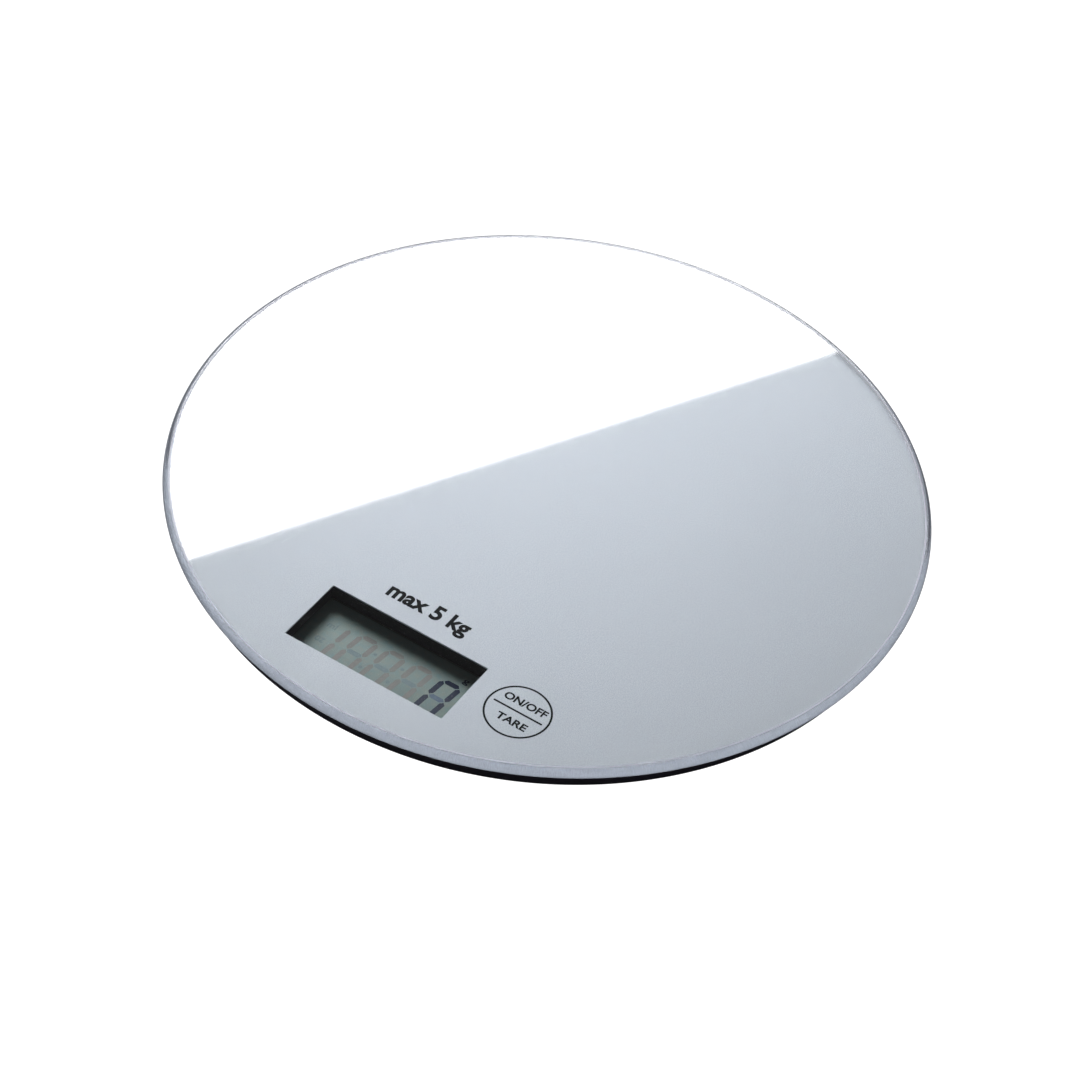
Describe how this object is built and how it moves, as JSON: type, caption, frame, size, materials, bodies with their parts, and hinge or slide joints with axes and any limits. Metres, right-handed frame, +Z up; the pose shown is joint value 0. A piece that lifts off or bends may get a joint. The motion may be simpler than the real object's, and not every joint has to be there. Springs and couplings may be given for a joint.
{
  "type": "digital kitchen scale",
  "caption": "Slim round kitchen scale: silver-backed glass platter on a shallow black tray, display window, touch key and sprung load-cell feet.",
  "frame": {"origin": "on the table, under the middle of the platter", "axes": "+Z up out of the platter's top; -Y towards the user and the display; +X to the right, where the touch key is"},
  "size_m": [0.2, 0.2, 0.015],
  "materials": {
    "glass": "clear tempered soda-lime glass, polished edge",
    "enamel_print": "silver-grey enamel with fine metallic flake, printed behind the glass",
    "black_plastic": "black ABS, fine spark texture",
    "grey_plastic": "dark grey ABS, satin",
    "pale_plastic": "natural nylon",
    "rubber": "matte rubber",
    "steel": "zinc-plated spring steel",
    "contact": "nickel-plated strip",
    "coin_steel": "stainless can, fine turning marks",
    "board": "green solder mask",
    "epoxy": "black epoxy",
    "display": "reflective grey-green liquid-crystal panel",
    "ribbon": "polyimide film with printed tracks",
    "foam": "closed-cell foam tape",
    "gauge": "foil gauge under sealing varnish",
    "white_lead": "PVC insulation",
    "red_lead": "PVC insulation",
    "black_lead": "PVC insulation"
  },
  "bodies": {
    "body": {"glass_platter": "glass", "printed_layer": "enamel_print", "tray": "black_plastic", "display_holder": "grey_plastic", "display_panel": "display", "display_cushion": "foam", "display_ribbon": "ribbon", "circuit_board": "board", "chip_cap": "epoxy", "touch_spring": "contact", "unit_switch": "epoxy", "coin_cell": "coin_steel", "inner_contact": "contact", "side_contact": "contact", "red_lead": "red_lead", "black_lead": "black_lead", "board_screw_1": "steel", "board_screw_2": "steel", "board_screw_3": "steel", "bonding_pad_right": "foam", "bonding_pad_left": "foam", "bonding_pad_rear": "foam", "bonding_pad_middle": "foam", "bonding_pad_front_left": "foam", "bonding_pad_front_right": "foam", "load_cell_front_left": "steel", "strain_gauge_front_left": "gauge", "cell_clamp_front_left": "pale_plastic", "clamp_screw_front_left_a": "steel", "clamp_screw_front_left_b": "steel", "cell_lead_front_left": "white_lead", "load_cell_front_right": "steel", "strain_gauge_front_right": "gauge", "cell_clamp_front_right": "pale_plastic", "clamp_screw_front_right_a": "steel", "clamp_screw_front_right_b": "steel", "cell_lead_front_right": "white_lead", "load_cell_rear_left": "steel", "strain_gauge_rear_left": "gauge", "cell_clamp_rear_left": "pale_plastic", "clamp_screw_rear_left_a": "steel", "clamp_screw_rear_left_b": "steel", "cell_lead_rear_left": "white_lead", "load_cell_rear_right": "steel", "strain_gauge_rear_right": "gauge", "cell_clamp_rear_right": "pale_plastic", "clamp_screw_rear_right_a": "steel", "clamp_screw_rear_right_b": "steel", "cell_lead_rear_right": "white_lead"},
    "foot_front_left": {"foot_carrier_front_left": "grey_plastic", "foot_pad_front_left": "rubber"},
    "foot_front_right": {"foot_carrier_front_right": "grey_plastic", "foot_pad_front_right": "rubber"},
    "foot_rear_left": {"foot_carrier_rear_left": "grey_plastic", "foot_pad_rear_left": "rubber"},
    "foot_rear_right": {"foot_carrier_rear_right": "grey_plastic", "foot_pad_rear_right": "rubber"},
    "battery_hatch": {"battery_hatch": "black_plastic"},
    "unit_key": {"unit_key": "black_plastic"}
  },
  "joints": [
    {"name": "foot_front_left_press", "type": "slide", "parent": "body", "child": "foot_front_left", "axis": [0, 0, 1], "range_m": [0, 0.0005], "stiffness_N_per_m": 2000, "springref_m": -0.0006},
    {"name": "foot_front_right_press", "type": "slide", "parent": "body", "child": "foot_front_right", "axis": [0, 0, 1], "range_m": [0, 0.0005], "stiffness_N_per_m": 2000, "springref_m": -0.0006},
    {"name": "foot_rear_left_press", "type": "slide", "parent": "body", "child": "foot_rear_left", "axis": [0, 0, 1], "range_m": [0, 0.0005], "stiffness_N_per_m": 2000, "springref_m": -0.0006},
    {"name": "foot_rear_right_press", "type": "slide", "parent": "body", "child": "foot_rear_right", "axis": [0, 0, 1], "range_m": [0, 0.0005], "stiffness_N_per_m": 2000, "springref_m": -0.0006},
    {"name": "battery_hatch_hinge", "type": "hinge", "parent": "body", "child": "battery_hatch", "pos_m": [0, 0.02295, 0.00275], "axis": [1, 0, 0], "range_deg": [0, 100]},
    {"name": "unit_key_press", "type": "slide", "parent": "body", "child": "unit_key", "axis": [0, 0, 1], "range_m": [0, 0.0005], "stiffness_N_per_m": 3000}
  ]
}
